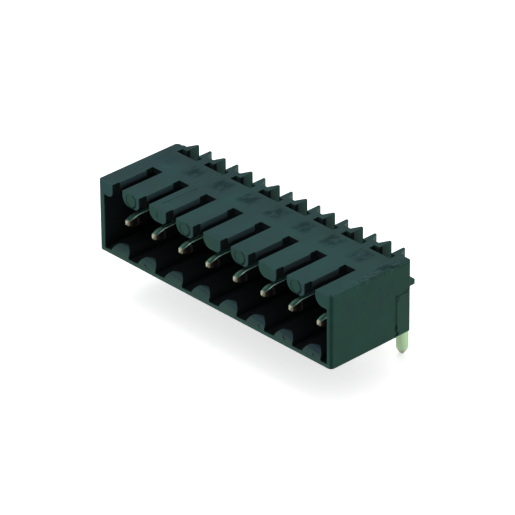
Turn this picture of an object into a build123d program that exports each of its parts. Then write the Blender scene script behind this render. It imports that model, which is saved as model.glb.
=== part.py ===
# Right-angle pin header for a circuit board, eight poles at 3.5 mm
# One moulded housing, open at the front, and eight bent contact pins.
# Origin on the board surface at the middle of the row of solder pins.
# X runs along the row, the plug comes in from -Y, Z points away from the board.
# All sizes in millimetres.
from build123d import *
import math
import os

os.makedirs("parts", exist_ok=True)

# Row
poles = 8
pitch = 3.5

# Contact pin, a square wire with chamfered edges, bent once through a right angle
wire_side = 1.08
wire_chamfer = 0.28
contact_height = 3.15
solder_length = 4.1
bend_radius = 1.05
contact_setback = 1.03
contact_tip_length = 1.0
contact_tip_end = 0.5
solder_tip_length = 0.75
solder_tip_end = 0.3

# Shell of the housing
left_overhang = 2.5
right_overhang = 2.61
shell_height = 7.15
shell_depth = 9.58
left_wall = 0.67
right_wall = 0.51
rear_wall = 1.5
floor_thickness = 0.35
roof_thickness = 0.55
left_front_radius = 0.27
right_front_radius = 0.4
left_rear_radius = 0.4
right_rear_radius = 0.08
top_edge_radius = 0.06
left_foot_radius = 0.3

# Keying slots in the roof, one above each pin, with a rail along the left wall
slot_width = 1.36
slot_length = 4.9
rail_width = 0.13
rail_start = 0.8
rail_end_gap = 0.85

# Hanging lips between the slots, some with the round mark of an ejector
lip_height = 1.33
lip_length = 1.0
lip_root_radius = 0.45
lip_left_radius = 0.9
lip_right_radius = 0.55
ejector_diameter = 1.3
ejector_depth = 0.05

# Rounded ribs on the floor, one under each pin
rib_width = 2.6
rib_top = 1.15
rib_corner_radius = 0.75
rib_nose_height = 0.25
rib_lead_in = 0.55

# Open bays behind the rear wall, and the forked posts between them
bay_width = 2.6
bay_length = 1.2
fork_gap = 1.44
fork_root = 0.48
fork_valley_reach = 0.07
fork_reach = 1.02
fork_tip_width = 0.22
fork_valley_width = 0.8
fork_to_pin = 0.14
nose_reach = 1.22
nose_bottom = 3.1
nose_front_height = 3.6

# Shallow step in the lower rear of each end face, with a fine seam round it
end_step_length = 1.68
end_step_height = 4.05
end_step_depth = 0.05
seam_width = 0.09
seam_depth = 0.12

# Depths from the open front
bay_start = shell_depth - bay_length
cavity_depth = bay_start - rear_wall
fork_start = shell_depth - fork_root
fork_valley = shell_depth + fork_valley_reach
fork_tip_depth = shell_depth + fork_reach
nose_depth = fork_tip_depth + nose_reach
nose_top = nose_front_height + nose_reach
end_step_start = shell_depth - end_step_length

# Derived positions
row_setback = fork_tip_depth + wire_side / 2 + fork_to_pin
front_y = -row_setback
row_length = (poles - 1) * pitch
shell_left = -row_length / 2 - left_overhang
shell_right = row_length / 2 + right_overhang
cavity_left = shell_left + left_wall
cavity_right = shell_right - right_wall
pin_x = [pitch * (i - (poles - 1) / 2) for i in range(poles)]
gap_x = [(a + b) / 2 for a, b in zip(pin_x, pin_x[1:])]
lip_width = pitch - slot_width

# How far a cut runs past the surface it opens
cut_clear = 0.5


def block(x0, x1, y0, y1, z0, z1):
    """Box between two corners, depths counted from the open front."""
    centre = Location(((x0 + x1) / 2, front_y + (y0 + y1) / 2, (z0 + z1) / 2))
    return centre * Box(x1 - x0, y1 - y0, z1 - z0)


def plan_prism(points, z0, z1):
    """Upright prism over an outline given as (x, depth from the front)."""
    outline = make_face(Polyline([(x, front_y + y) for x, y in points], close=True))
    return Pos(0, 0, z0) * extrude(outline, z1 - z0)


def front_prism(outline, y0, y1):
    """Prism along the plug direction over an outline drawn in X and Z."""
    plane = Plane(origin=(0, front_y + y0, 0), x_dir=(1, 0, 0), z_dir=(0, -1, 0))
    return extrude(plane * outline, -(y1 - y0))


def side_prism(points, x0, x1):
    """Prism along the row over an outline given as (depth, height)."""
    plane = Plane(origin=(x0, 0, 0), x_dir=(0, 1, 0), z_dir=(1, 0, 0))
    outline = make_face(Polyline([(front_y + y, z) for y, z in points], close=True))
    return extrude(plane * outline, x1 - x0)


def wire_face(plane):
    """Section of the wire, a square with chamfered corners."""
    square = Rectangle(wire_side, wire_side)
    return plane * chamfer(square.vertices(), wire_chamfer)


def shell_block():
    """Outer block of the moulding, rounded in plan, at its left foot and along the top."""
    width = shell_right - shell_left
    middle = (shell_left + shell_right) / 2
    plan = Pos(middle, front_y + shell_depth / 2) * Rectangle(width, shell_depth)
    for x, depth, radius in (
        (shell_left, 0, left_front_radius),
        (shell_right, 0, right_front_radius),
        (shell_left, shell_depth, left_rear_radius),
        (shell_right, shell_depth, right_rear_radius),
    ):
        corner = plan.vertices().sort_by_distance((x, front_y + depth, 0))[0]
        plan = fillet(corner, radius)
    front = Pos(middle, shell_height / 2) * Rectangle(width, shell_height)
    foot = front.vertices().sort_by_distance((shell_left, 0, 0))[0]
    front = fillet(foot, left_foot_radius)
    body = extrude(plan, shell_height) & front_prism(front, 0, shell_depth)
    top = body.faces().sort_by(Axis.Z)[-1]
    return fillet(top.edges().filter_by(Axis.Y), top_edge_radius)


def cavity():
    """Room for the plug between the end walls, the floor and the roof."""
    roof_z = shell_height - roof_thickness
    return block(cavity_left, cavity_right, -cut_clear, cavity_depth, floor_thickness, roof_z)


def lip_bar(x0, x1, y0, y1, left_radius, right_radius):
    """Bar under the roof with rounded lower edges, a radius of 0 leaves one sharp."""
    outline = Pos((x0 + x1) / 2, shell_height - lip_height / 2) * Rectangle(x1 - x0, lip_height)
    for radius, corner in ((left_radius, 0), (right_radius, -1)):
        low = outline.vertices().sort_by(Axis.Y)[:2].sort_by(Axis.X)
        if radius > 0:
            outline = fillet(low[corner], radius)
    return front_prism(outline, y0, y1)


def lip_hollow(x0, x1):
    """Room behind a lip, with a hollow curve that leads up to the roof."""
    root = lip_length + lip_root_radius
    roof_z = shell_height - roof_thickness
    low = roof_z - lip_root_radius
    room = block(x0, x1, lip_length, root + cut_clear, low - pitch, low)
    room += block(x0, x1, root, root + cut_clear, low - cut_clear, roof_z)
    axis = Location((x0, front_y + root, low), (0, 90, 0))
    along = (Align.CENTER, Align.CENTER, Align.MIN)
    return room + axis * Cylinder(lip_root_radius, x1 - x0, align=along)


def lip(x0, x1, left_radius=lip_left_radius, right_radius=lip_right_radius):
    """Hanging lip at the front of the roof, wider behind where it carries the rail."""
    root = lip_length + lip_root_radius
    body = lip_bar(x0, x1, 0, root, left_radius, right_radius)
    body += lip_bar(x0, x1 + rail_width, rail_start, root, left_radius, right_radius)
    return body - lip_hollow(x0 - cut_clear, x1 + cut_clear)


def lips():
    """The lips between the slots, and the two half lips that join the end walls."""
    slot_edge = row_length / 2 + slot_width / 2
    row = [lip(x - lip_width / 2, x + lip_width / 2) for x in gap_x]
    left = lip(cavity_left - left_wall / 2, -slot_edge, left_radius=0)
    right = lip(slot_edge, cavity_right + right_wall / 2 - rail_width, right_radius=0)
    return row + [left, right]


def slot(x):
    """Keying slot through the roof, open at the front, with the rail left standing."""
    left = x - slot_width / 2
    low = shell_height - lip_height - cut_clear
    high = shell_height + cut_clear
    cut = block(left, left + slot_width, -cut_clear, slot_length, low, high)
    return cut - block(left, left + rail_width, rail_start, slot_length - rail_end_gap, low, high)


def ejector_mark(x):
    """Shallow round mark in the front face of a lip."""
    z = shell_height - lip_height / 2
    disc = Pos(x, z) * Circle(ejector_diameter / 2)
    return front_prism(disc, -cut_clear, ejector_depth)


def floor_rib(x):
    """Rounded rib under a pin with a sloping front for the plug to ride on."""
    base = floor_thickness / 2
    outline = Pos(x, (rib_top + base) / 2) * Rectangle(rib_width, rib_top - base)
    crown = outline.vertices().group_by(Axis.Y)[-1]
    outline = fillet(crown, rib_corner_radius)
    body = front_prism(outline, 0, cavity_depth)
    nose = floor_thickness + rib_nose_height
    fall = (rib_top - nose) / rib_lead_in * (rib_lead_in + cut_clear)
    wedge = [(-cut_clear, rib_top - fall), (rib_lead_in, rib_top)]
    wedge += [(rib_lead_in, rib_top + cut_clear), (-cut_clear, rib_top + cut_clear)]
    return body - side_prism(wedge, x - pitch / 2, x + pitch / 2)


def bay(x):
    """Open bay behind the rear wall where a pin turns down to the board."""
    half = bay_width / 2
    rear = shell_depth + cut_clear
    high = shell_height + cut_clear
    wide = block(x - half, x + half, bay_start, fork_start, -cut_clear, high)
    low = block(x - half, x + half, bay_start, rear, -cut_clear, nose_bottom)
    narrow = block(x - fork_gap / 2, x + fork_gap / 2, bay_start, rear, -cut_clear, high)
    return wide + low + narrow


def fork_outline(x0, inner):
    """Plan of one prong beside the gap at x0; inner is +1 or -1 for its side."""
    near = fork_gap / 2
    half_valley = pitch / 2 - fork_valley_width / 2
    mid = pitch / 2
    points = [(near, fork_start), (near, fork_tip_depth), (near + fork_tip_width, fork_tip_depth)]
    points += [(half_valley, fork_valley), (mid, fork_valley), (mid, fork_start)]
    return [(x0 + inner * x, y) for x, y in points]


def prong(x0, side):
    """Prong beside a pin, with a nose low down that guards the bend."""
    near = fork_gap / 2
    column = plan_prism(fork_outline(x0, side), nose_bottom, shell_height)
    profile = [(fork_start, nose_bottom), (nose_depth, nose_bottom), (nose_depth, nose_front_height)]
    profile += [(fork_tip_depth - fork_tip_width, nose_top), (fork_start, nose_top)]
    edge_a = x0 + side * near
    edge_b = x0 + side * (near + fork_tip_width)
    guard = side_prism(profile, min(edge_a, edge_b), max(edge_a, edge_b))
    return column + guard


def bore(x):
    """Bore through the rear wall, the seat of a pin."""
    plane = Plane(origin=(x, front_y, contact_height), x_dir=(1, 0, 0), z_dir=(0, 1, 0))
    return extrude(wire_face(plane), bay_start + cut_clear)


def end_cut(side, depth, y0, y1, z0, z1):
    """Cut of that depth in the end face on one side."""
    outer = shell_left if side < 0 else shell_right
    edges = sorted([outer - side * depth, outer + side * cut_clear])
    return block(edges[0], edges[1], y0, y1, z0, z1)


def end_step(side):
    """Shallow step in the lower rear of an end face, and the seam along its edges."""
    start = end_step_start
    rear = shell_depth + cut_clear
    groove = end_step_depth + seam_depth
    panel = end_cut(side, end_step_depth, start, rear, -cut_clear, end_step_height)
    upright = end_cut(side, groove, start, start + seam_width, -cut_clear, end_step_height)
    level = end_cut(side, groove, start, rear, end_step_height - seam_width, end_step_height)
    return panel + upright + level


def housing():
    """The whole moulding."""
    body = shell_block() - cavity()
    for piece in lips():
        body += piece
    for x in pin_x:
        body += floor_rib(x)
        body -= slot(x)
        body -= bay(x)
    for x in pin_x:
        for side in (-1, 1):
            body += prong(x, side)
    for x in pin_x:
        body -= bore(x)
    for x in gap_x[::2]:
        body -= ejector_mark(x)
    for side in (-1, 1):
        body -= end_step(side)
    return body


def tip_cutter(end_side, length):
    """Trims the end of a wire to four flat bevels, the end face at the origin."""
    slope = math.degrees(math.atan((wire_side - end_side) / 2 / length))
    frustum = extrude(Rectangle(end_side, end_side), length, taper=-slope)
    around = Pos(0, 0, (length - cut_clear) / 2) * Box(2 * wire_side, 2 * wire_side, length + cut_clear)
    return around - frustum


def pin(x):
    """Wire from the contact tip, round the bend, to the solder tip."""
    start = (x, front_y + contact_setback, contact_height)
    bend_in = (x, -bend_radius, contact_height)
    sagitta = bend_radius * (1 - math.cos(math.pi / 4))
    bend_mid = (x, -sagitta, contact_height - sagitta)
    bend_out = (x, 0, contact_height - bend_radius)
    end = (x, 0, -solder_length)
    path = Wire([Line(start, bend_in), ThreePointArc(bend_in, bend_mid, bend_out), Line(bend_out, end)])
    section = wire_face(Plane(origin=start, x_dir=(1, 0, 0), z_dir=(0, 1, 0)))
    body = sweep(section, path=path)
    body -= Location(start, (-90, 0, 0)) * tip_cutter(contact_tip_end, contact_tip_length)
    return body - Location(end) * tip_cutter(solder_tip_end, solder_tip_length)


def name_and_save(shape, name):
    """Write one piece as its own STEP file."""
    shape.label = name
    export_step(shape, f"parts/{name}.step")


name_and_save(housing(), "housing")
for index, x in enumerate(pin_x):
    name_and_save(pin(x), f"contact_pin_{index + 1}")
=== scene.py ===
# %% [markdown]
# # A right-angle pin header, dressed and lit
# The object is a small connector that is soldered to a circuit board: one dark moulded
# housing, open at the front, and eight bent metal pins. The packed CAD parts hold every
# true size. This lesson adds the finish: plastic that looks moulded, metal that looks
# drawn and cut, a plain white stand and soft light, seen from the photograph's angle.

# %% Load the packed parts
import math

import bpy
import numpy as np
from mathutils import Matrix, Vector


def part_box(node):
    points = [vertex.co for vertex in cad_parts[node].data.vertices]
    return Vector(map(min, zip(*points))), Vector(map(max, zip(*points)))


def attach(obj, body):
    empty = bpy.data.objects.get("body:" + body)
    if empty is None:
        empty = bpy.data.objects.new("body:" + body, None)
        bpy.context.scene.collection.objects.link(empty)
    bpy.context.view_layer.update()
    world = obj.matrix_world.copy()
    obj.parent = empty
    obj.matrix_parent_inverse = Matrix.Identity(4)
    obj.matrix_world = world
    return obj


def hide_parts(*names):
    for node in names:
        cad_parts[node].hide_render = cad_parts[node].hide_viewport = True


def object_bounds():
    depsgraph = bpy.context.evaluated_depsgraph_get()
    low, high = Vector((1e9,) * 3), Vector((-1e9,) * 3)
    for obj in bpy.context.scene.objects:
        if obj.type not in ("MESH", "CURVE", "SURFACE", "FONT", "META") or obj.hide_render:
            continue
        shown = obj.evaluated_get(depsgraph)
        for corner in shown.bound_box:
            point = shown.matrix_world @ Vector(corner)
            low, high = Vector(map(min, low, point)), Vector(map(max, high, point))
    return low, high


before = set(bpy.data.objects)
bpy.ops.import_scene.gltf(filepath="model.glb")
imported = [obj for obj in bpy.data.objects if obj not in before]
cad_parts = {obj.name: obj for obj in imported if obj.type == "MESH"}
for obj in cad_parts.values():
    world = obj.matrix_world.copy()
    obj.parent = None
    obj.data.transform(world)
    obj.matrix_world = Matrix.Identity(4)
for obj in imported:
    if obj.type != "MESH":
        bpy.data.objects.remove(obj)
cad_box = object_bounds()
MM = 0.001
print("nodes:", sorted(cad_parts))
print("size in mm:", [round((b - a) / MM, 2) for a, b in zip(*cad_box)])

# %% [markdown]
# ## The camera
# A long lens stands 0.4 m from the part, 30 degrees above it and 47 degrees round from the
# open front. Its place was worked out by lining up edges of known length, so it is written
# as a turn, a height angle, a small tilt and a distance, and the three directions of the
# camera follow from those with plain trigonometry.

# %% Camera
TURN = math.radians(46.692)
CLIMB = math.radians(29.723)
TILT = math.radians(-0.501)
DISTANCE = 408.07 * MM
AIM = np.array([0.0, -6.78, 3.5]) * MM
SIDE_STEP = np.array([0.7027, -0.2057]) * MM
FRAME_PIXELS = 515
FOCAL_PIXELS = 4642.1
SENSOR_WIDTH = 36.0


def camera_axes(turn, climb, tilt):
    """Right, up and backward directions of a camera that is turned, raised and tilted."""
    back = np.array([math.sin(turn) * math.cos(climb), -math.cos(turn) * math.cos(climb), math.sin(climb)])
    level = np.array([math.cos(turn), math.sin(turn), 0.0])
    upright = np.cross(back, level)
    right = level * math.cos(tilt) + upright * math.sin(tilt)
    up = upright * math.cos(tilt) - level * math.sin(tilt)
    return right, up, back


right, up, back = camera_axes(TURN, CLIMB, TILT)
place = np.eye(4)
place[:3, 0], place[:3, 1], place[:3, 2] = right, up, back
place[:3, 3] = AIM + right * SIDE_STEP[0] + up * SIDE_STEP[1] + back * DISTANCE
camera_data = bpy.data.cameras.new("camera")
camera = bpy.data.objects.new("camera", camera_data)
bpy.context.scene.collection.objects.link(camera)
camera.matrix_world = Matrix(place.tolist())
camera_data.sensor_width = SENSOR_WIDTH
camera_data.lens = FOCAL_PIXELS / FRAME_PIXELS * SENSOR_WIDTH
camera_data.clip_start = 0.01
camera_data.clip_end = 20.0
bpy.context.scene.camera = camera
print("lens in mm:", round(camera_data.lens, 1), "camera at", np.round(place[:3, 3], 4))

# %% [markdown]
# ## Shader arithmetic as plain calls
# Materials here are small formulas of position and direction. `Wiring` adds one node for
# each call and gives back its output socket, so a formula reads from left to right. Masks
# that are used many times, and the grain, are node groups with named inputs.


# %% Wiring helper
class Wiring:
    """Adds nodes to one tree; values may be numbers, tuples or output sockets."""

    def __init__(self, tree):
        self.tree = tree

    def node(self, kind, **settings):
        """A new shader node with some of its settings."""
        made = self.tree.nodes.new("ShaderNode" + kind)
        for name, value in settings.items():
            setattr(made, name, value)
        return made

    def feed(self, socket, value):
        """Links an output to an input, or sets a plain value."""
        if isinstance(value, bpy.types.NodeSocket):
            self.tree.links.new(value, socket)
        else:
            socket.default_value = value

    def feed_row(self, made, values):
        """Feeds the first inputs of a node in their order."""
        for socket, value in zip(made.inputs, values):
            self.feed(socket, value)
        return made

    def feed_named(self, made, values):
        """Feeds inputs of a node by their names."""
        for name, value in values.items():
            self.feed(made.inputs[name], value)
        return made

    def math(self, operation, *values):
        """One operation on numbers, such as ADD."""
        return self.feed_row(self.node("Math", operation=operation), values).outputs[0]

    def times(self, *values):
        """The product of all values, from left to right."""
        total = values[0]
        for value in values[1:]:
            total = self.math("MULTIPLY", total, value)
        return total

    def vector(self, operation, *values):
        """One operation on vectors; a distance and a dot product are numbers."""
        made = self.feed_row(self.node("VectorMath", operation=operation), values)
        return made.outputs["Value" if operation in ("DISTANCE", "DOT_PRODUCT") else "Vector"]

    def scale(self, vector, factor):
        """The vector times a number."""
        made = self.node("VectorMath", operation="SCALE")
        self.feed(made.inputs[0], vector)
        self.feed(made.inputs["Scale"], factor)
        return made.outputs[0]

    def split(self, vector):
        """The x, y and z of a vector."""
        made = self.node("SeparateXYZ")
        self.feed(made.inputs[0], vector)
        return made.outputs[0], made.outputs[1], made.outputs[2]

    def join(self, x, y, z):
        """The vector of three numbers."""
        return self.feed_row(self.node("CombineXYZ"), (x, y, z)).outputs[0]

    def ramp(self, value, low, high, start=0.0, end=1.0):
        """Smooth change from start to end while the value goes from low to high."""
        values = {"Value": value, "From Min": low, "From Max": high, "To Min": start, "To Max": end}
        made = self.node("MapRange", interpolation_type="SMOOTHSTEP")
        return self.feed_named(made, values).outputs["Result"]

    def noise(self, vector, scale, detail=2.0, roughness=0.5):
        """Cloudy values around 0.5: octaves of noise, each finer, weighted by roughness."""
        values = {"Vector": vector, "Scale": scale, "Detail": detail, "Roughness": roughness}
        return self.feed_named(self.node("TexNoise"), values).outputs["Fac"]

    def blend(self, factor, first, second, mode="MIX"):
        """Colour: first times (1 - factor) plus second times factor, or their product."""
        made = self.node("Mix", data_type="RGBA", blend_type=mode)
        colours = [socket for socket in made.inputs if socket.type == "RGBA"]
        self.feed(made.inputs[0], factor)
        self.feed(colours[0], first)
        self.feed(colours[1], second)
        return [socket for socket in made.outputs if socket.type == "RGBA"][0]

    def use(self, tree, **values):
        """Drops in a node group; keyword names are the names of its inputs."""
        return self.feed_named(self.node("Group", node_tree=tree), values).outputs[0]

    def highest(self, masks):
        """The largest of the masks at each point."""
        total = masks[0]
        for mask in masks[1:]:
            total = self.math("MAXIMUM", total, mask)
        return total


print("calls:", [name for name in vars(Wiring) if not name.startswith("_")])


# %% Mask groups
GRAIN_DEPTH = 0.02 * MM
LINE_CORE = 0.3


def new_group(name, inputs, output):
    """An empty group with named inputs and one output, ready to be wired."""
    tree = bpy.data.node_groups.new(name, "ShaderNodeTree")
    for label, kind in inputs:
        tree.interface.new_socket(name=label, in_out="INPUT", socket_type="NodeSocket" + kind)
    tree.interface.new_socket(name=output[0], in_out="OUTPUT", socket_type="NodeSocket" + output[1])
    given = tree.nodes.new("NodeGroupInput").outputs
    result = tree.nodes.new("NodeGroupOutput").inputs[0]
    return tree, Wiring(tree), given, result


def box_mask_group():
    """1 inside a box, 0 outside: the smallest distance to the six sides, smoothed over Soft."""
    inputs = [("Place", "Vector"), ("Low", "Vector"), ("High", "Vector"), ("Soft", "Float")]
    tree, w, given, result = new_group("box_mask", inputs, ("Mask", "Float"))
    above = w.vector("SUBTRACT", given["Place"], given["Low"])
    below = w.vector("SUBTRACT", given["High"], given["Place"])
    x, y, z = w.split(w.vector("MINIMUM", above, below))
    inside = w.math("MINIMUM", w.math("MINIMUM", x, y), z)
    w.feed(result, w.ramp(inside, w.times(given["Soft"], -1.0), given["Soft"]))
    return tree


def line_mask_group():
    """1 near the line from Start to End, fading to 0 at Width from it.

    The nearest point lies at the share dot(reach, whole) / dot(whole, whole), held in 0 to 1.
    """
    inputs = [("Place", "Vector"), ("Start", "Vector"), ("End", "Vector"), ("Width", "Float")]
    tree, w, given, result = new_group("line_mask", inputs, ("Mask", "Float"))
    whole = w.vector("SUBTRACT", given["End"], given["Start"])
    reach = w.vector("SUBTRACT", given["Place"], given["Start"])
    part = w.math("DIVIDE", w.vector("DOT_PRODUCT", reach, whole), w.vector("DOT_PRODUCT", whole, whole))
    held = w.math("MINIMUM", w.math("MAXIMUM", part, 0.0), 1.0)
    gap = w.vector("DISTANCE", reach, w.scale(whole, held))
    w.feed(result, w.ramp(gap, given["Width"], w.times(given["Width"], LINE_CORE)))
    return tree


def ring_mask_group():
    """1 where |distance from Centre - Radius| is small, fading to 0 at Width."""
    inputs = [("Place", "Vector"), ("Centre", "Vector"), ("Radius", "Float"), ("Width", "Float")]
    tree, w, given, result = new_group("ring_mask", inputs, ("Mask", "Float"))
    gap = w.math("SUBTRACT", w.vector("DISTANCE", given["Place"], given["Centre"]), given["Radius"])
    away = w.math("ABSOLUTE", gap)
    w.feed(result, w.ramp(away, given["Width"], w.times(given["Width"], LINE_CORE)))
    return tree


def grain_group():
    """Normals of a fine moulded grain: two noises summed and turned into a bump."""
    inputs = [("Place", "Vector"), ("Strength", "Float")]
    tree, w, given, result = new_group("moulded_grain", inputs, ("Normal", "Vector"))
    fine, coarse = w.noise(given["Place"], 9.0, 3.0), w.noise(given["Place"], 1.6)
    height = w.math("ADD", fine, w.times(coarse, 0.8))
    values = {"Strength": given["Strength"], "Distance": GRAIN_DEPTH, "Height": height}
    w.feed(result, w.feed_named(w.node("Bump"), values).outputs["Normal"])
    return tree


BOX, LINE, RING, GRAIN = box_mask_group(), line_mask_group(), ring_mask_group(), grain_group()
print("groups:", [tree.name for tree in (BOX, LINE, RING, GRAIN)])


# %% Short names for two of the groups
def box_mask(w, place, low, high, soft):
    """The box mask between two corners."""
    return w.use(BOX, Place=place, Low=low, High=high, Soft=soft)


def line_mask(w, place, start, end, width):
    """The line mask between two points."""
    return w.use(LINE, Place=place, Start=start, End=end, Width=width)


print("masks by corners and by ends are ready")

# %% [markdown]
# ## The stand, the sky and the lamp
# The part was photographed on white, in light that comes from everywhere. A sky of even
# white does most of that. One broad lamp above and behind the left shoulder gives the
# faces slightly different levels. The floor is pale and keeps the part's soft shadow; a
# little light of its own, seen by the camera and in reflections only, lifts it to white.

# %% Sky and view settings
SKY_LIGHT = 0.78
SKY_SEEN = 1.0
scene = bpy.context.scene
scene.view_settings.view_transform = "Standard"
world = bpy.data.worlds.new("sky")
world.use_nodes = True
scene.world = world
sky = Wiring(world.node_tree)
background = world.node_tree.nodes["Background"]
background.inputs["Color"].default_value = (1.0, 1.0, 1.0, 1.0)
path = sky.node("LightPath")
seen = sky.highest([path.outputs[f"Is {kind} Ray"] for kind in ("Camera", "Glossy", "Transmission")])
sky.feed(background.inputs["Strength"], sky.ramp(seen, 0.0, 1.0, SKY_LIGHT, SKY_SEEN))
print("sky strength:", SKY_LIGHT, "seen as", SKY_SEEN)

# %% Floor
FLOOR_Z = cad_box[0].z
FLOOR_HALF = 1.5
FLOOR_COLOUR = (0.80, 0.80, 0.80, 1.0)
FLOOR_LIFT = 0.6


def new_mesh_object(name, points, faces):
    """An object from arrays: points in metres, faces as rows of point numbers."""
    mesh = bpy.data.meshes.new(name)
    mesh.from_pydata(np.asarray(points).tolist(), [], [tuple(int(i) for i in face) for face in faces])
    mesh.validate()
    piece = bpy.data.objects.new(name, mesh)
    bpy.context.scene.collection.objects.link(piece)
    return piece


def new_material(name):
    """A material with its wiring and its Principled shader."""
    material = bpy.data.materials.new(name)
    material.use_nodes = True
    return material, Wiring(material.node_tree), material.node_tree.nodes["Principled BSDF"]


corners = np.array([(-1, -1), (1, -1), (1, 1), (-1, 1)]) * FLOOR_HALF
floor = new_mesh_object("floor", np.column_stack([corners, np.full(4, FLOOR_Z)]), [(0, 1, 2, 3)])
floor_paint, w, shader = new_material("floor_paint")
shader.inputs["Base Color"].default_value = FLOOR_COLOUR
shader.inputs["Roughness"].default_value = 0.9
shader.inputs["Specular IOR Level"].default_value = 0.0
shader.inputs["Emission Color"].default_value = (1.0, 1.0, 1.0, 1.0)
path = w.node("LightPath")
seen = w.math("MAXIMUM", path.outputs["Is Camera Ray"], path.outputs["Is Glossy Ray"])
w.feed(shader.inputs["Emission Strength"], w.times(seen, FLOOR_LIFT))
floor.data.materials.append(floor_paint)
print("floor at z =", round(FLOOR_Z / MM, 2), "mm")


# %% Lamp
LAMP_PLACE = (-0.25, 0.1, 0.5)
LAMP_SIZE = 0.35
LAMP_POWER = 1.2


def soft_lamp(name, place, size, power):
    """A square lamp whose axes are side = towards x up, head = side x towards, and back."""
    data = bpy.data.lights.new(name, "AREA")
    data.size = size
    data.energy = power
    lamp = bpy.data.objects.new(name, data)
    towards = -np.array(place) / np.linalg.norm(place)
    side = np.cross(towards, (0.0, 0.0, 1.0))
    side /= np.linalg.norm(side)
    head = np.cross(side, towards)
    direction = Matrix(np.column_stack([side, head, -towards]).tolist())
    lamp.matrix_world = Matrix.Translation(place) @ direction.to_4x4()
    bpy.context.scene.collection.objects.link(lamp)


soft_lamp("top_lamp", LAMP_PLACE, LAMP_SIZE, LAMP_POWER)

# %% [markdown]
# ## Where things are
# The shaders below work in millimetres from the part's own origin. A few sizes of the
# moulding are repeated here so that each mark can be placed against the feature it is on.

# %% Sizes of the moulding in mm
POLES = 8
PITCH = 3.5
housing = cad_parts["housing"]
low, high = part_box("housing")
LEFT, FRONT, _ = [v / MM for v in low]
RIGHT, _, TOP = [v / MM for v in high]
DEPTH = 9.58
REAR = FRONT + DEPTH
LIP_HEIGHT = 1.33
RIB_REACH = 1.35
RIB_FOOT, RIB_TOP = 0.42, 1.3
PIN_X = [PITCH * (i - (POLES - 1) / 2) for i in range(POLES)]
LIP_X = [(a + b) / 2 for a, b in zip(PIN_X, PIN_X[1:])]
print("housing from", round(LEFT, 2), "to", round(RIGHT, 2), "in x")
print("front at", round(FRONT, 2), "and top at", round(TOP, 2))

# %% [markdown]
# ## The plastic
# The housing is a satin moulding: nearly black with a cold green cast. Three things give
# it life. Each direction takes a slightly different tone, bluer on top and greener at the
# end; this is painted light, standing in for how the light falls on each side. The deep
# cavity and the walls of the slots lose almost all light, and that shade is painted in as
# near-black tones. And the mould and the handling have left small traces, some of them
# drawn with painted shade. Tones in a picture would tie the looks to one size, so every
# zone and trace is a formula of place and direction instead.

# %% Tones of the plastic
# Painted light: the plastic's tone on faces that look up, forward and to the end, each lit differently.
TONE_TOP = (0.013, 0.051, 0.048, 1.0)
TONE_FRONT = (0.019, 0.064, 0.051, 1.0)
TONE_END = (0.016, 0.058, 0.043, 1.0)
TONE_PANEL = (0.021, 0.067, 0.050, 1.0)
# Painted light: a lighter strip along the foot of the front.
TONE_FOOT_LIT = (0.030, 0.080, 0.066, 1.0)
# Painted light on the rails, and a painted glint on their low edge.
TONE_RAIL_LIT = (0.032, 0.060, 0.070, 1.0)
TONE_RAIL_LIT_RIGHT = (0.026, 0.042, 0.048, 1.0)
# Painted light: the tones of the lit arch on the rib fronts.
TONE_NOSE_LIT = (0.028, 0.060, 0.062, 1.0)
TONE_NOSE_LIT_BLUE = (0.024, 0.048, 0.058, 1.0)
TONE_NOSE_LIT_LOW = (0.036, 0.078, 0.068, 1.0)
TONE_GLINT = (0.09, 0.13, 0.12, 1.0)
# Painted shade on the sides of the rear posts, lighter towards their tips.
TONE_POST_SHADE = (0.018, 0.034, 0.036, 1.0)
TONE_POST_SHADE_TIP = (0.020, 0.074, 0.058, 1.0)
TONE_COOL = (0.013, 0.042, 0.046, 1.0)
TONE_SMUDGE = (0.003, 0.021, 0.024, 1.0)
# Painted light: a paler, bluer strip on the right of each lip's front and near the left end.
TONE_STRIP_LIT = (0.022, 0.064, 0.066, 1.0)
# Painted shade: near black in the cavity, darker on its floor and darkest on the rib shoulders.
TONE_DEEP_SHADE = (0.008, 0.011, 0.0115, 1.0)
TONE_CAVITY_FLOOR_SHADE = (0.0070, 0.0088, 0.0095, 1.0)
TONE_SHOULDER_SHADE = (0.0045, 0.0050, 0.0054, 1.0)
print("top tone:", TONE_TOP[:3], "front tone:", TONE_FRONT[:3])


# %% Light on the rib fronts
ARCH_CENTRE = (0.3, 0.38)
ARCH_REACH = (1.24, 0.93)


def from_pole(w, x, first=PIN_X[0]):
    """x minus the nearest pole's x, or minus the nearest repeat of another first x."""
    return w.math("WRAP", w.math("SUBTRACT", x, first), PITCH / 2, -PITCH / 2)


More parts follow.
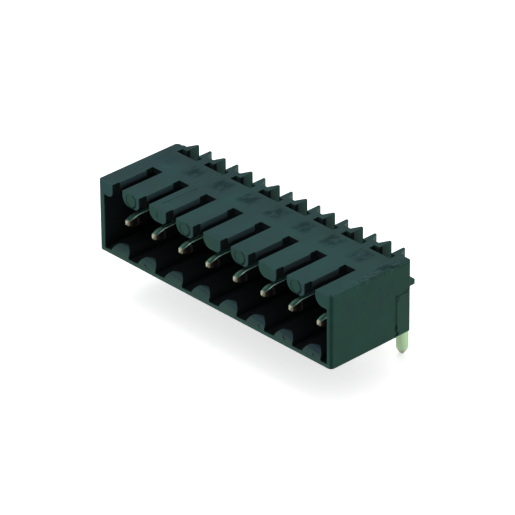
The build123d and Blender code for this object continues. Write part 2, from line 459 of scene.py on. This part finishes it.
def nose_light(w, place, facing):
    """The lit arch on a floor rib's front: ((b - 0.3) / 1.24)^2 + ((h - 0.38) / 0.93)^2 is below one."""
    x, y, z = w.split(place)
    _, ny, nz = w.split(facing)
    beside = from_pole(w, x)
    crown = w.times(w.math("MAXIMUM", w.math("SUBTRACT", y, FRONT + 0.55), 0.0), 0.5)
    across = w.math("DIVIDE", w.math("SUBTRACT", beside, ARCH_CENTRE[0]), ARCH_REACH[0])
    height = w.math("SUBTRACT", w.math("ADD", z, crown), ARCH_CENTRE[1])
    height = w.math("DIVIDE", height, ARCH_REACH[1])
    arch = w.math("ADD", w.times(across, across), w.times(height, height))
    towards = w.math("MAXIMUM", w.ramp(ny, -0.3, -0.5), w.ramp(nz, 0.6, 0.8))
    ribs = box_mask(w, place, (PIN_X[0] - RIB_REACH, FRONT - 0.2, RIB_FOOT),
                    (PIN_X[-1] + RIB_REACH, FRONT + 1.3, RIB_TOP), 0.06)
    slant = w.times(w.math("MAXIMUM", w.math("SUBTRACT", beside, 0.35), 0.0), 0.8)
    limit = w.ramp(w.math("ADD", y, slant), FRONT + 0.96, FRONT + 0.88)
    return w.times(towards, w.times(ribs, limit), w.ramp(arch, 1.05, 0.95))


# rib, then the two ends of its painted shade line: beside the pole and up, beside the pole and up
SHADE_LINES = (
    (1, -0.15, 0.66, 0.75, 0.38), (5, 0.5, 0.66, 0.9, 0.42),
    (6, 0.0, 0.78, 0.38, 0.54), (7, 0.3, 0.65, 0.55, 0.5))


def nose_tone(w, place):
    """Painted light on a floor rib's front: bluish on its slope, greener on its foot, with a short painted
    shade line on some.
    """
    x, _, z = w.split(place)
    blue = w.blend(w.ramp(x, 0.0, 8.0), TONE_NOSE_LIT, TONE_NOSE_LIT_BLUE)
    foot = w.math("ADD", z, w.times(from_pole(w, x), 0.06))
    tone = w.blend(w.ramp(foot, 0.90, 0.80), blue, TONE_NOSE_LIT_LOW)
    flat = w.join(x, 0.0, z)
    # Painted shade: short dark lines across some of the lit arches.
    shade_lines = w.highest([
        line_mask(w, flat, (PIN_X[rib] + x_1, 0.0, z_1), (PIN_X[rib] + x_2, 0.0, z_2), 0.08)
        for rib, x_1, z_1, x_2, z_2 in SHADE_LINES
    ])
    return w.blend(w.times(shade_lines, 0.8), tone, TONE_DEEP_SHADE)


print("arch over each rib in mm:", [2 * reach for reach in ARCH_REACH], "creases:", len(SHADE_LINES))


# %% Painted shade zones and painted light on the rails
RAILS_END = FRONT + 4.03


def deep_shade_zones(w, place, facing):
    """Painted shade where it is nearly black: the highest of box masks, some times a mask of direction."""
    nx, ny, _ = w.split(facing)
    left, right = LEFT + 0.35, RIGHT - 0.25
    upper = box_mask(w, place, (left, FRONT + 0.1, RIB_TOP), (right, FRONT + 8.0, TOP - 0.3), 0.05)
    lower = box_mask(w, place, (left, FRONT + 0.06, 0.18), (right, FRONT + 8.0, 1.35), 0.04)
    shoulder = box_mask(w, place, (PIN_X[0] - RIB_REACH, FRONT - 0.2, RIB_FOOT),
                        (PIN_X[-1] + RIB_REACH, FRONT + 0.9, RIB_TOP), 0.03)
    walls = box_mask(w, place, (left, FRONT + 0.06, 5.0), (right, FRONT + 5.4, TOP - 0.02), 0.03)
    rail_end = box_mask(w, place, (left, FRONT + 0.5, 6.0), (right, FRONT + 5.2, TOP - 0.02), 0.03)
    bays = box_mask(w, place, (LEFT + 0.6, FRONT + 8.2, 0.2), (RIGHT - 0.6, REAR - 0.1, TOP - 0.04), 0.05)
    no_nose = w.math("SUBTRACT", 1.0, nose_light(w, place, facing))
    return w.highest([
        upper,
        w.times(w.math("MAXIMUM", lower, shoulder), no_nose),
        w.times(walls, w.ramp(w.math("ABSOLUTE", nx), 0.6, 0.9)),
        w.times(rail_end, w.ramp(ny, -0.6, -0.9)),
        w.times(bays, w.ramp(nx, 0.9, 0.97)),
    ])


def rail_light_zones(w, place, facing):
    """Painted light on the rails along the slots: a box mask times direction times a rise towards their top
    edge.
    """
    _, _, z = w.split(place)
    nx, _, _ = w.split(facing)
    along = box_mask(w, place, (LEFT + 1.0, FRONT + 0.83, TOP - 0.6),
                     (RIGHT - 1.0, RAILS_END, TOP - 0.03), 0.03)
    return w.times(along, w.ramp(nx, 0.6, 0.9), w.ramp(z, TOP - 0.6, TOP - 0.1, 0.3, 1.0))


print("rails end at y =", round(RAILS_END, 2), "in a housing that ends at y =", round(REAR, 2))

# %% [markdown]
# ## Small traces
# Ejector pins leave round marks, two mould halves leave a seam, and handling leaves
# scratches and rubbed corners. They could be cut into the mesh, but they are too fine for
# that, so they are drawn as thin lines, rings and clouds that darken or lighten the tone.
# Some of these are painted shade: the right-hand arcs of the ejector marks, and the lines
# of the seam, its slit and the ledges on the end. A dark line down the rounded front edge
# of the end is a painted reflection.

# %% Marks, traces and painted shade
EJECTOR_RADIUS = 0.64
SEAM_Y = FRONT + 7.9
LEDGE_HEIGHT = 4.05
CORNER = 0.4
# lip, then the two ends of a cut: beside the lip's middle and below the top, likewise, width
LIP_CUTS = ((1, -0.05, 0.9, -0.03, 0.45, 0.09), (2, 0.35, 1.0, 0.42, 0.6, 0.05))


def on_top(w, z):
    """1 on the top face, fading to 0 just below it."""
    return w.ramp(z, TOP - 0.08, TOP - 0.02)


def lip_marks_and_shade(w, place):
    """Ejector marks on every other lip, drawn only as right-hand crescents of painted shade (ring times a
    rise in x), and two short cuts.
    """
    x, y, _ = w.split(place)
    marks = []
    for lip_x in LIP_X[::2]:
        centre = (lip_x, FRONT, TOP - LIP_HEIGHT / 2)
        ring = w.use(RING, Place=place, Centre=centre, Radius=EJECTOR_RADIUS, Width=0.15)
        # Painted shade: only the right-hand side of each ejector ring is drawn dark.
        marks.append(w.times(ring, w.ramp(x, lip_x + 0.05, lip_x + 0.35)))
    for lip, x_1, down_1, x_2, down_2, width in LIP_CUTS:
        start, end = (LIP_X[lip] + x_1, FRONT, TOP - down_1), (LIP_X[lip] + x_2, FRONT, TOP - down_2)
        marks.append(line_mask(w, place, start, end, width))
    return w.times(w.highest(marks), w.ramp(y, FRONT + 0.08, FRONT + 0.06))


def top_marks(w, place):
    """Two fine scratches beside the second slot: the highest of two lines, on the top only."""
    _, _, z = w.split(place)
    lip = LIP_X[1]
    clear = line_mask(w, place, (lip - 0.35, FRONT + 0.9, TOP), (lip - 0.2, FRONT + 5.0, TOP), 0.05)
    faint = line_mask(w, place, (lip + 0.05, FRONT + 1.6, TOP), (lip + 0.15, FRONT + 4.6, TOP), 0.035)
    return w.times(w.highest([clear, w.times(faint, 0.6)]), on_top(w, z))


def smudges(w, place):
    """A cloudy spot on the top behind each slot: a soft box, repeated, times a stretched noise."""
    x, y, z = w.split(place)
    spot = w.join(from_pole(w, x), y, z)
    cloud = box_mask(w, spot, (-1.7, FRONT + 6.1, TOP - 0.5), (-0.1, FRONT + 7.8, TOP + 0.5), 0.45)
    uneven = w.noise(w.vector("MULTIPLY", place, (1.5, 0.8, 1.0)), 1.3, 5.0, 0.72)
    cloud = w.times(cloud, w.ramp(x, PIN_X[0] - 0.4, PIN_X[1] - 0.9, 0.35, 1.0))
    return w.times(cloud, w.ramp(uneven, 0.38, 0.56), on_top(w, z))


def end_marks_and_shade(w, place):
    """On the end: painted shade in a broken seam, a slit in it and along the ledges, an eye mark, and a
    painted dark reflection down the rounded front edge.
    """
    x, y, _ = w.split(place)
    broken = w.ramp(w.noise(place, 2.6, 3.0), 0.38, 0.6, 0.1, 0.5)
    # Painted shade: dark lines in the seam, its slit and along the ledges.
    seam = line_mask(w, place, (RIGHT, SEAM_Y, 0.1), (RIGHT, SEAM_Y, LEDGE_HEIGHT), 0.3)
    slit = w.highest([
        line_mask(w, place, (RIGHT, SEAM_Y + 0.02, foot), (RIGHT, SEAM_Y + lean, head), 0.27)
        for foot, head, lean in ((0.72, 1.1, 0.03), (0.08, 0.3, 0.2))
    ])
    ledge = line_mask(w, place, (RIGHT, SEAM_Y, LEDGE_HEIGHT), (RIGHT, REAR, LEDGE_HEIGHT), 0.12)
    upper_ledge = line_mask(w, place, (RIGHT, REAR - 0.8, 4.22), (RIGHT, REAR, 4.3), 0.1)
    eye = w.use(RING, Place=place, Centre=(RIGHT, SEAM_Y + 0.25, 3.7), Radius=0.2, Width=0.07)
    from_right, from_front = w.math("SUBTRACT", x, RIGHT - CORNER), w.math("SUBTRACT", y, FRONT + CORNER)
    # Painted reflection: a dark line down the middle of the rounded front edge of the end.
    corner = w.ramp(w.math("ABSOLUTE", w.math("ADD", from_right, from_front)), 0.26, 0.08)
    outer = w.times(w.ramp(x, RIGHT - 0.45, RIGHT - 0.35), w.ramp(y, FRONT + 0.45, FRONT + 0.35))
    return w.highest([
        w.times(seam, broken),
        slit,
        w.times(w.highest([ledge, upper_ledge]), 0.3),
        w.times(eye, 0.65),
        w.times(corner, outer, 0.55),
    ])


def scuffs(w, place):
    """Rubbed specks on the top right edge: a noise around zero times the nearness of the edge."""
    x, y, z = w.split(place)
    edge = w.times(w.ramp(x, RIGHT - 1.3, RIGHT - 0.4), w.ramp(z, TOP - 0.55, TOP - 0.2))
    edge = w.times(edge, w.ramp(y, FRONT + 1.0, FRONT + 5.0, 0.25, 1.0))
    specks = w.noise(w.vector("MULTIPLY", place, (1.2, 0.6, 1.5)), 3.0, 4.0, 0.7)
    return w.times(edge, w.math("SUBTRACT", w.ramp(specks, 0.32, 0.68), 0.45))


print("ejector marks:", len(LIP_X[::2]), "seam at y =", round(SEAM_Y, 2))

# %% The housing's material
GLOSS_LEVEL = 0.045
ROUGHNESS = (0.36, 0.46)
GRAIN_STRENGTH = 0.15
SMUDGE_SHARE = 0.85
MARK_AND_SHADE_SHARE = 0.85
SCUFF_SHARE = 0.8
BACK_FADE = 0.14


def upper_tones(w, place, facing):
    """Painted light: a tone for each direction a face looks, cool clouds on the top, and a painted paler
    strip on the right of each lip.
    """
    x, y, z = w.split(place)
    nx, _, nz = w.split(facing)
    # Painted light: each facing direction takes its own tone.
    tone = w.blend(w.ramp(nz, 0.45, 0.9), TONE_FRONT, TONE_TOP)
    tone = w.blend(w.ramp(nx, 0.45, 0.9), tone, TONE_END)
    clouds = w.noise(w.vector("MULTIPLY", place, (1.0, 0.4, 1.0)), 0.3, 4.0, 0.62)
    cool = w.times(w.ramp(clouds, 0.42, 0.58), w.ramp(x, 8.0, -12.0, 0.3, 1.0))
    tone = w.blend(w.times(cool, w.ramp(nz, 0.5, 0.8)), tone, TONE_COOL)
    # Painted light: the paler strip on the right side of each lip's front and near the left end.
    beside_lip = from_pole(w, x, LIP_X[0])
    sides = w.math("MAXIMUM", w.ramp(beside_lip, 0.5, 0.75), w.ramp(x, LEFT + 1.9, LEFT + 1.2))
    strip = w.times(sides, w.ramp(z, TOP - 1.6, TOP - 1.2))
    strip = w.times(strip, w.ramp(y, FRONT + 0.05, FRONT + 0.02), w.ramp(x, LIP_X[-1] + 1.5, LIP_X[-1] + 1.2))
    return w.blend(strip, tone, TONE_STRIP_LIT)


def rear_and_end_tones(w, place, facing, tone):
    """The given tone, blended by three masks: painted shade on the sides of the posts, lighter towards their
    tips, the end panel's tone, and painted light along the foot.
    """
    x, y, z = w.split(place)
    _, _, nz = w.split(facing)
    # Painted shade on the post sides, lighter towards the tips.
    post = w.blend(w.ramp(y, REAR - 0.45, REAR + 0.9), TONE_POST_SHADE, TONE_POST_SHADE_TIP)
    behind = w.times(w.ramp(y, REAR - 0.52, REAR - 0.46), w.ramp(nz, 0.7, 0.4))
    tone = w.blend(w.times(behind, w.ramp(x, RIGHT - 0.5, RIGHT - 0.6)), tone, post)
    panel = box_mask(w, place, (RIGHT - 0.3, SEAM_Y + 0.05, -0.1), (RIGHT + 0.1, REAR + 0.1, 4.0), 0.06)
    tone = w.blend(panel, tone, TONE_PANEL)
    # Painted light: a lighter strip along the foot of the front face.
    foot = w.times(w.ramp(z, 0.42, 0.3), w.ramp(y, FRONT + 0.05, FRONT + 0.02))
    return w.blend(foot, tone, TONE_FOOT_LIT)


def shade_and_mark_tone(w, place, facing):
    """Painted shade, nearly black and also used for the marks: two blends, darker on the cavity's floor,
    darkest on the shoulders of the ribs.
    """
    _, y, z = w.split(place)
    _, ny, _ = w.split(facing)
    dark = w.blend(w.ramp(z, 1.5, 1.25), TONE_DEEP_SHADE, TONE_CAVITY_FLOOR_SHADE)
    shoulder = w.times(w.ramp(y, FRONT + 0.9, FRONT + 0.8), w.ramp(ny, -0.3, -0.5))
    return w.blend(w.times(shoulder, w.ramp(z, 1.4, 1.3)), dark, TONE_SHOULDER_SHADE)


def rail_light_tone(w, place):
    """Painted light on the rails: a lit grey changing along the row, with a painted glint on the low edge."""
    x, y, z = w.split(place)
    low_edge = w.times(w.ramp(z, TOP - 0.42, TOP - 0.47), w.ramp(y, FRONT + 1.8, FRONT + 3.2))
    glint = w.times(low_edge, w.ramp(x, -6.0, 6.0, 0.1, 0.6))
    return w.blend(glint, w.blend(w.ramp(x, -4.0, 8.0), TONE_RAIL_LIT, TONE_RAIL_LIT_RIGHT), TONE_GLINT)


def housing_plastic():
    """Satin moulded plastic: painted light by direction, on the rib fronts and on the rails, painted shade in
    the dark zones, marks partly drawn as painted shade, and a fine grain.
    """
    material, w, shader = new_material("housing_plastic")
    source = w.node("TexCoord")
    place = w.scale(source.outputs["Object"], 1.0 / MM)
    facing = source.outputs["Normal"]
    _, y, _ = w.split(place)
    _, _, nz = w.split(facing)
    tone = upper_tones(w, place, facing)
    # Painted light: the lit arch on each rib front.
    tone = w.blend(nose_light(w, place, facing), tone, nose_tone(w, place))
    smudge = w.times(smudges(w, place), SMUDGE_SHARE)
    tone = w.blend(smudge, tone, TONE_SMUDGE)
    tone = rear_and_end_tones(w, place, facing, tone)
    patch = w.noise(place, 0.35, 4.0, 0.6)
    fade = w.times(w.ramp(y, FRONT + 5.5, FRONT + 8.5), w.ramp(nz, 0.5, 0.8))
    for factor in (
        w.ramp(patch, 0.25, 0.75, 0.88, 1.12),
        w.math("SUBTRACT", 1.0, w.times(fade, BACK_FADE)),
        w.math("ADD", w.times(scuffs(w, place), SCUFF_SHARE), 1.0),
    ):
        tone = w.blend(1.0, tone, factor, "MULTIPLY")
    # Real cuts, scratches and the eye mark, together with painted shade lines and a painted dark reflection.
    marks = w.highest([lip_marks_and_shade(w, place), top_marks(w, place), end_marks_and_shade(w, place)])
    # Painted shade: the near-black zones and the marks take the shade tone.
    deep = deep_shade_zones(w, place, facing)
    tone = w.blend(w.highest([deep, w.times(marks, MARK_AND_SHADE_SHARE)]), tone, shade_and_mark_tone(w, place, facing))
    # Painted light on the rails along the slots.
    tone = w.blend(rail_light_zones(w, place, facing), tone, rail_light_tone(w, place))
    w.feed(shader.inputs["Base Color"], tone)
    dull = w.math("SUBTRACT", 1.0, w.highest([deep, marks, w.times(smudge, 0.6)]))
    w.feed(shader.inputs["Specular IOR Level"], w.times(dull, GLOSS_LEVEL))
    w.feed(shader.inputs["Roughness"], w.ramp(patch, 0.3, 0.7, *ROUGHNESS))
    w.feed(shader.inputs["Normal"], w.use(GRAIN, Place=place, Strength=GRAIN_STRENGTH))
    return material


housing.data.materials.clear()
housing.data.materials.append(housing_plastic())
print("nodes in the plastic:", len(housing.data.materials[0].node_tree.nodes))

# %% [markdown]
# ## The pins
# Each pin is a square wire with chamfered edges, bent once. Its skin is a polar curve
# swept along the bend. With eight flat sides at distances d and directions a, the smooth
# section is r = (sum of (cos(angle - a) / d)^p)^(-1/p): a large p keeps the sides flat and
# only rounds the edges, and the curve never leaves the true octagon. Four more sides that
# close in towards each end cut the pyramid tips.

# %% Section of the wire
WIRE_HALF = 0.54
CHAMFER = 0.28
FACET_REACH = (2 * WIRE_HALF - CHAMFER) / math.sqrt(2.0)
EDGE_POWER = 16
TIP_POWER = 4
AROUND = 64


def wire_radius(angle, tip_half, power):
    """r = (sum over the sides of (max(cos(angle - side), 0) / distance)^p)^(-1/p)."""
    total = 0.0
    for k in range(8):
        reach = np.maximum(np.cos(angle - k * math.pi / 4), 0.0)
        total = total + (reach / (WIRE_HALF if k % 2 == 0 else FACET_REACH)) ** power
        if k % 2 == 0:
            total = total + (reach / tip_half) ** power
    return total ** (-1.0 / power)


print("wire half across flats:", WIRE_HALF, "across bevels:", round(FACET_REACH, 3))

# %% Path of the wire
BEND = 1.05
CONTACT_HEIGHT = 3.15
SOLDER_END = cad_box[0].z / MM
CONTACT_END = FRONT + 1.03
CONTACT_TIP = (0.25, 1.0)
SOLDER_TIP = (0.15, 0.75)
RIM = 0.10
TIP_STATIONS = np.array([0.0, 0.012, 0.04, 0.1, 0.25, 0.45, 0.65, 0.8, 0.9, 0.97, 1.03, 1.1, 1.25, 1.5])
CAP_RINGS = np.array([0.02, 0.5, 0.92])
ROUND_REACH = 1.2
straight = -BEND - CONTACT_END
curve = BEND * math.pi / 2
drop = CONTACT_HEIGHT - BEND - SOLDER_END
WIRE_LENGTH = straight + curve + drop
print("wire length in mm:", round(WIRE_LENGTH, 2))


def wire_frame(distance):
    """Centre, and the direction that began as up, after that distance along the bent wire.

    On the bend the turn is (distance - straight) / radius, held between 0 and a right angle.
    """
    turn = np.clip((distance - straight) / BEND, 0.0, math.pi / 2)
    flat = np.minimum(distance, straight)
    down = np.maximum(distance - straight - curve, 0.0)
    y = CONTACT_END + flat + BEND * np.sin(turn)
    z = CONTACT_HEIGHT - BEND * (1 - np.cos(turn)) - down
    return y, z, np.sin(turn), np.cos(turn)


def stations():
    """Distances along the wire: close together at the tips and round the bend."""
    body = np.linspace(2.0, straight, 9)
    bend = straight + curve * np.linspace(0.0, 1.0, 15)[1:]
    leg = np.linspace(straight + curve, WIRE_LENGTH - 1.6, 6)[1:]
    last = WIRE_LENGTH - TIP_STATIONS[:-1][::-1] * 0.8
    return np.concatenate([TIP_STATIONS, body, bend, leg, last])


# %% Skin of the wire
def wire_skin(name):
    """One pin at x = 0: rings of points centre + radius * (cos, sin) along the path.

    Three smaller rings and one small face close each end.
    """
    along = stations()
    angle = np.linspace(0.0, 2 * math.pi, AROUND, endpoint=False)
    start = CONTACT_TIP[0] + (WIRE_HALF - CONTACT_TIP[0]) * along / CONTACT_TIP[1]
    finish = SOLDER_TIP[0] + (WIRE_HALF - SOLDER_TIP[0]) * (WIRE_LENGTH - along) / SOLDER_TIP[1]
    half = np.minimum(start, finish)
    gap = np.minimum(along, WIRE_LENGTH - along)
    power = TIP_POWER + (EDGE_POWER - TIP_POWER) * np.clip(gap / ROUND_REACH, 0.0, 1.0)
    radius = wire_radius(angle[None, :], half[:, None], power[:, None])
    rim = RIM - np.sqrt(np.clip(RIM ** 2 - np.clip(RIM - gap, 0.0, RIM) ** 2, 0.0, None))
    radius = radius - rim[:, None]
    along = np.concatenate([[0.0] * 3, along, [WIRE_LENGTH] * 3])
    inner = CAP_RINGS[:, None]
    radius = np.concatenate([radius[:1] * inner, radius, radius[-1:] * inner[::-1]])
    y, z, lean, rise = wire_frame(along)
    across = radius * np.cos(angle)
    height = radius * np.sin(angle)
    y = y[:, None] + height * lean[:, None]
    z = z[:, None] + height * rise[:, None]
    points = np.stack([across, y, z], axis=-1)
    count = len(along)
    ring, spot = np.meshgrid(np.arange(count - 1), np.arange(AROUND), indexing="ij")
    after = (spot + 1) % AROUND
    here, ahead = ring * AROUND, (ring + 1) * AROUND
    faces = np.stack([here + spot, here + after, ahead + after, ahead + spot], axis=-1)
    faces = [tuple(face) for face in faces.reshape(-1, 4)]
    faces.append(tuple(range(AROUND))[::-1])
    faces.append(tuple((count - 1) * AROUND + k for k in range(AROUND)))
    piece = new_mesh_object(name, points.reshape(-1, 3) * MM, faces)
    piece.data.polygons.foreach_set("use_smooth", np.ones(len(piece.data.polygons), dtype=bool))
    wire_place = np.stack([across, height, np.broadcast_to(along[:, None], across.shape)], axis=-1)
    stored = piece.data.attributes.new("wire_place", "FLOAT_VECTOR", "POINT")
    stored.data.foreach_set("vector", wire_place.ravel())
    return piece


print("rings in one pin:", len(stations()) + 2 * len(CAP_RINGS))

# %% [markdown]
# ## The metal
# The tinned leg is pale and slightly green. Inside the housing the same wire is duller, and
# its colour is painted: a painted reflection of the dark green plastic on its top and near
# black painted shade on its other sides. At the tip the tin is rubbed off: the bare end face
# is painted bright as a painted reflection, darker towards its lower right, the bevels
# beside it show brown brass, and the bevel on top takes a painted reflection of the green
# plastic. A painted highlight runs along the upper edges. The shader reads `wire_place`,
# the distances across, up and along the wire that are stored on the points.

# %% Metal
TIN = (0.37, 0.52, 0.32, 1.0)
TIN_STREAK = (0.30, 0.43, 0.26, 1.0)
SOLDER_CUT = (0.20, 0.22, 0.14, 1.0)
# Painted reflection of the dark green plastic on the top inside the housing, and painted shade on the other
# sides.
TIN_TOP_REFLECTION = (0.020, 0.066, 0.052, 1.0)
TIN_SHADED = (0.006, 0.009, 0.008, 1.0)
# Painted highlight along the upper edges.
EDGE_HIGHLIGHT = (0.42, 0.62, 0.55, 1.0)
# The bare end face, painted bright as a reflection of the white surroundings, darker towards its lower right.
END_REFLECTION = (0.42, 0.46, 0.35, 1.0)
END_REFLECTION_LOW = (0.15, 0.14, 0.095, 1.0)
BRASS = (0.055, 0.040, 0.026, 1.0)
BRASS_DARK = (0.011, 0.009, 0.009, 1.0)
BRASS_RIM = (0.034, 0.031, 0.030, 1.0)
# Painted reflection of the green plastic on the top bevel at the tip.
TOP_BEVEL_REFLECTION = (0.062, 0.155, 0.112, 1.0)


def pin_metal():
    """Drawn wire: tinned on the leg, duller inside the housing with painted shade and a painted reflection of
    the plastic, rubbed at the tip.

    A point is on a side bevel where |across| is greater than |up|, else on top or below.
    """
    material, w, shader = new_material("pin_metal")
    wire_place = w.node("Attribute", attribute_name="wire_place").outputs["Vector"]
    across, up, along = w.split(wire_place)
    streak = w.noise(w.vector("MULTIPLY", wire_place, (3.0, 3.0, 0.3)), 1.0, 3.0)
    mottle = w.noise(wire_place, 5.0, 3.0, 0.6)
    wide = w.math("ABSOLUTE", across)
    edge = w.times(w.math("ABSOLUTE", up), w.ramp(along, 0.0, 1.25, 1.0, 0.47))
    beyond = w.math("SUBTRACT", wide, edge)
    upper = w.math("GREATER_THAN", up, 0.0)
    side = w.ramp(beyond, -0.03, 0.03)
    top = w.times(w.ramp(beyond, 0.03, -0.03), upper)
    # Painted reflection of the plastic on the top, painted shade on the other sides.
    tone = w.blend(top, TIN_SHADED, TIN_TOP_REFLECTION)
    # Painted reflection of the green plastic on the top bevel, mottled.
    bevel_reflection = w.blend(1.0, TOP_BEVEL_REFLECTION, w.ramp(mottle, 0.3, 0.7, 0.8, 1.2), "MULTIPLY")
    tone = w.blend(w.times(w.ramp(along, 1.06, 0.98), top), tone, bevel_reflection)
    brown = w.blend(w.ramp(along, 0.1, 0.55), BRASS, BRASS_DARK)
    brown = w.blend(w.ramp(along, 0.8, 0.92), brown, BRASS_RIM)
    tone = w.blend(w.times(w.ramp(along, 1.1, 1.0), side), tone, brown)
    # Painted highlight along the upper edges, strongest just behind the tip and on the right.
    line = w.times(w.ramp(w.math("ABSOLUTE", beyond), 0.075, 0.01), upper)
    line = w.times(line, w.ramp(across, -0.1, 0.1, 0.15, 1.0))
    shine = w.times(w.ramp(along, 0.1, 1.1, 0.22, 1.0), w.ramp(along, 1.4, 3.4, 1.0, 0.15))
    tone = w.blend(w.times(line, shine), tone, EDGE_HIGHLIGHT)
    # The bare end face: painted reflection, bright and darker towards its lower right.
    lower_side = w.ramp(w.math("SUBTRACT", across, w.times(up, 0.5)), -0.05, 0.12)
    tone = w.blend(w.ramp(along, 0.14, 0.06), tone, w.blend(lower_side, END_REFLECTION, END_REFLECTION_LOW))
    leg = w.ramp(along, straight - 1.0, straight + 0.5)
    tinned = w.blend(w.ramp(streak, 0.35, 0.7), TIN, TIN_STREAK)
    tinned = w.blend(w.ramp(across, 0.1, 0.5, 0.0, 0.35), tinned, TIN_STREAK)
    tinned = w.blend(w.ramp(along, WIRE_LENGTH - 0.7, WIRE_LENGTH - 0.4, 0.0, 0.7), tinned, SOLDER_CUT)
    tone = w.blend(leg, tone, tinned)
    w.feed(shader.inputs["Base Color"], tone)
    w.feed(shader.inputs["Metallic"], w.math("MAXIMUM", w.times(leg, 0.85), 0.3))
    w.feed(shader.inputs["Specular IOR Level"], w.math("MAXIMUM", w.times(leg, 0.5), 0.1))
    w.feed(shader.inputs["Roughness"], w.ramp(streak, 0.3, 0.7, 0.10, 0.16))
    return material


metal = pin_metal()
print("nodes in the metal:", len(metal.node_tree.nodes))

# %% The eight pins
pins = []
for number, x in enumerate(PIN_X, start=1):
    piece = wire_skin(f"drawn_pin_{number}")
    piece.location.x = x * MM
    piece.data.materials.append(metal)
    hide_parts(f"contact_pin_{number}")
    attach(piece, "root")
    pins.append(piece)
print("pins:", len(pins), "faces in one:", len(pins[0].data.polygons))
